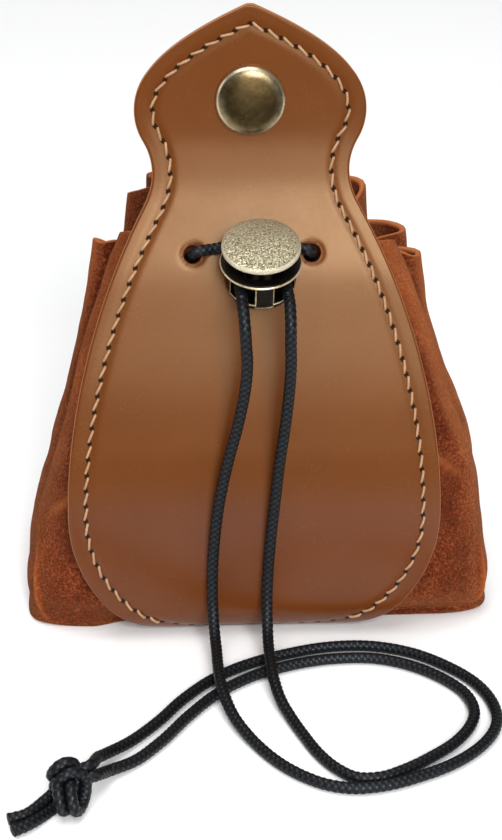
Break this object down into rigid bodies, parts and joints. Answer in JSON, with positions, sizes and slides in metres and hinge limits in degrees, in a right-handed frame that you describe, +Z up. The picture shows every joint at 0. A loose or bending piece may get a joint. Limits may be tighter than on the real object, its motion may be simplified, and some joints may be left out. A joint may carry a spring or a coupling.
{
  "type": "dice bag",
  "caption": "Gathered suede drawstring pouch with a keyhole-shaped leather front panel, a brass snap cap, a spring cord lock and a knotted waxed cord.",
  "frame": {"origin": "on the surface that the bag stands on, under the middle of the pouch", "axes": "+Z up, -Y towards the front panel, +X to the right as seen from the front"},
  "size_m": [0.0907, 0.1213, 0.1171],
  "materials": {
    "suede": "napped rust-brown suede with lighter cut edges",
    "leather": "smooth tan leather with a satin sheen and raw edges",
    "brass": "antique brass, bright on worn edges and dark in the pits",
    "dark_metal": "blackened metal with brass showing on worn edges",
    "cord": "black waxed braid"
  },
  "bodies": {
    "bag": {"pouch": "suede", "front_panel": "leather", "snap_cap": "brass", "lock_body": "dark_metal", "drawstring": "cord", "tail_left": "cord", "tail_right": "cord", "cord_knot": "cord"},
    "button": {"lock_button": "brass"}
  },
  "joints": [
    {"name": "button_press", "type": "slide", "parent": "bag", "child": "button", "axis": [0, -0.342, 0.9397], "range_m": [-0.0024, 0], "stiffness_N_per_m": 300, "springref_m": 0.002}
  ]
}
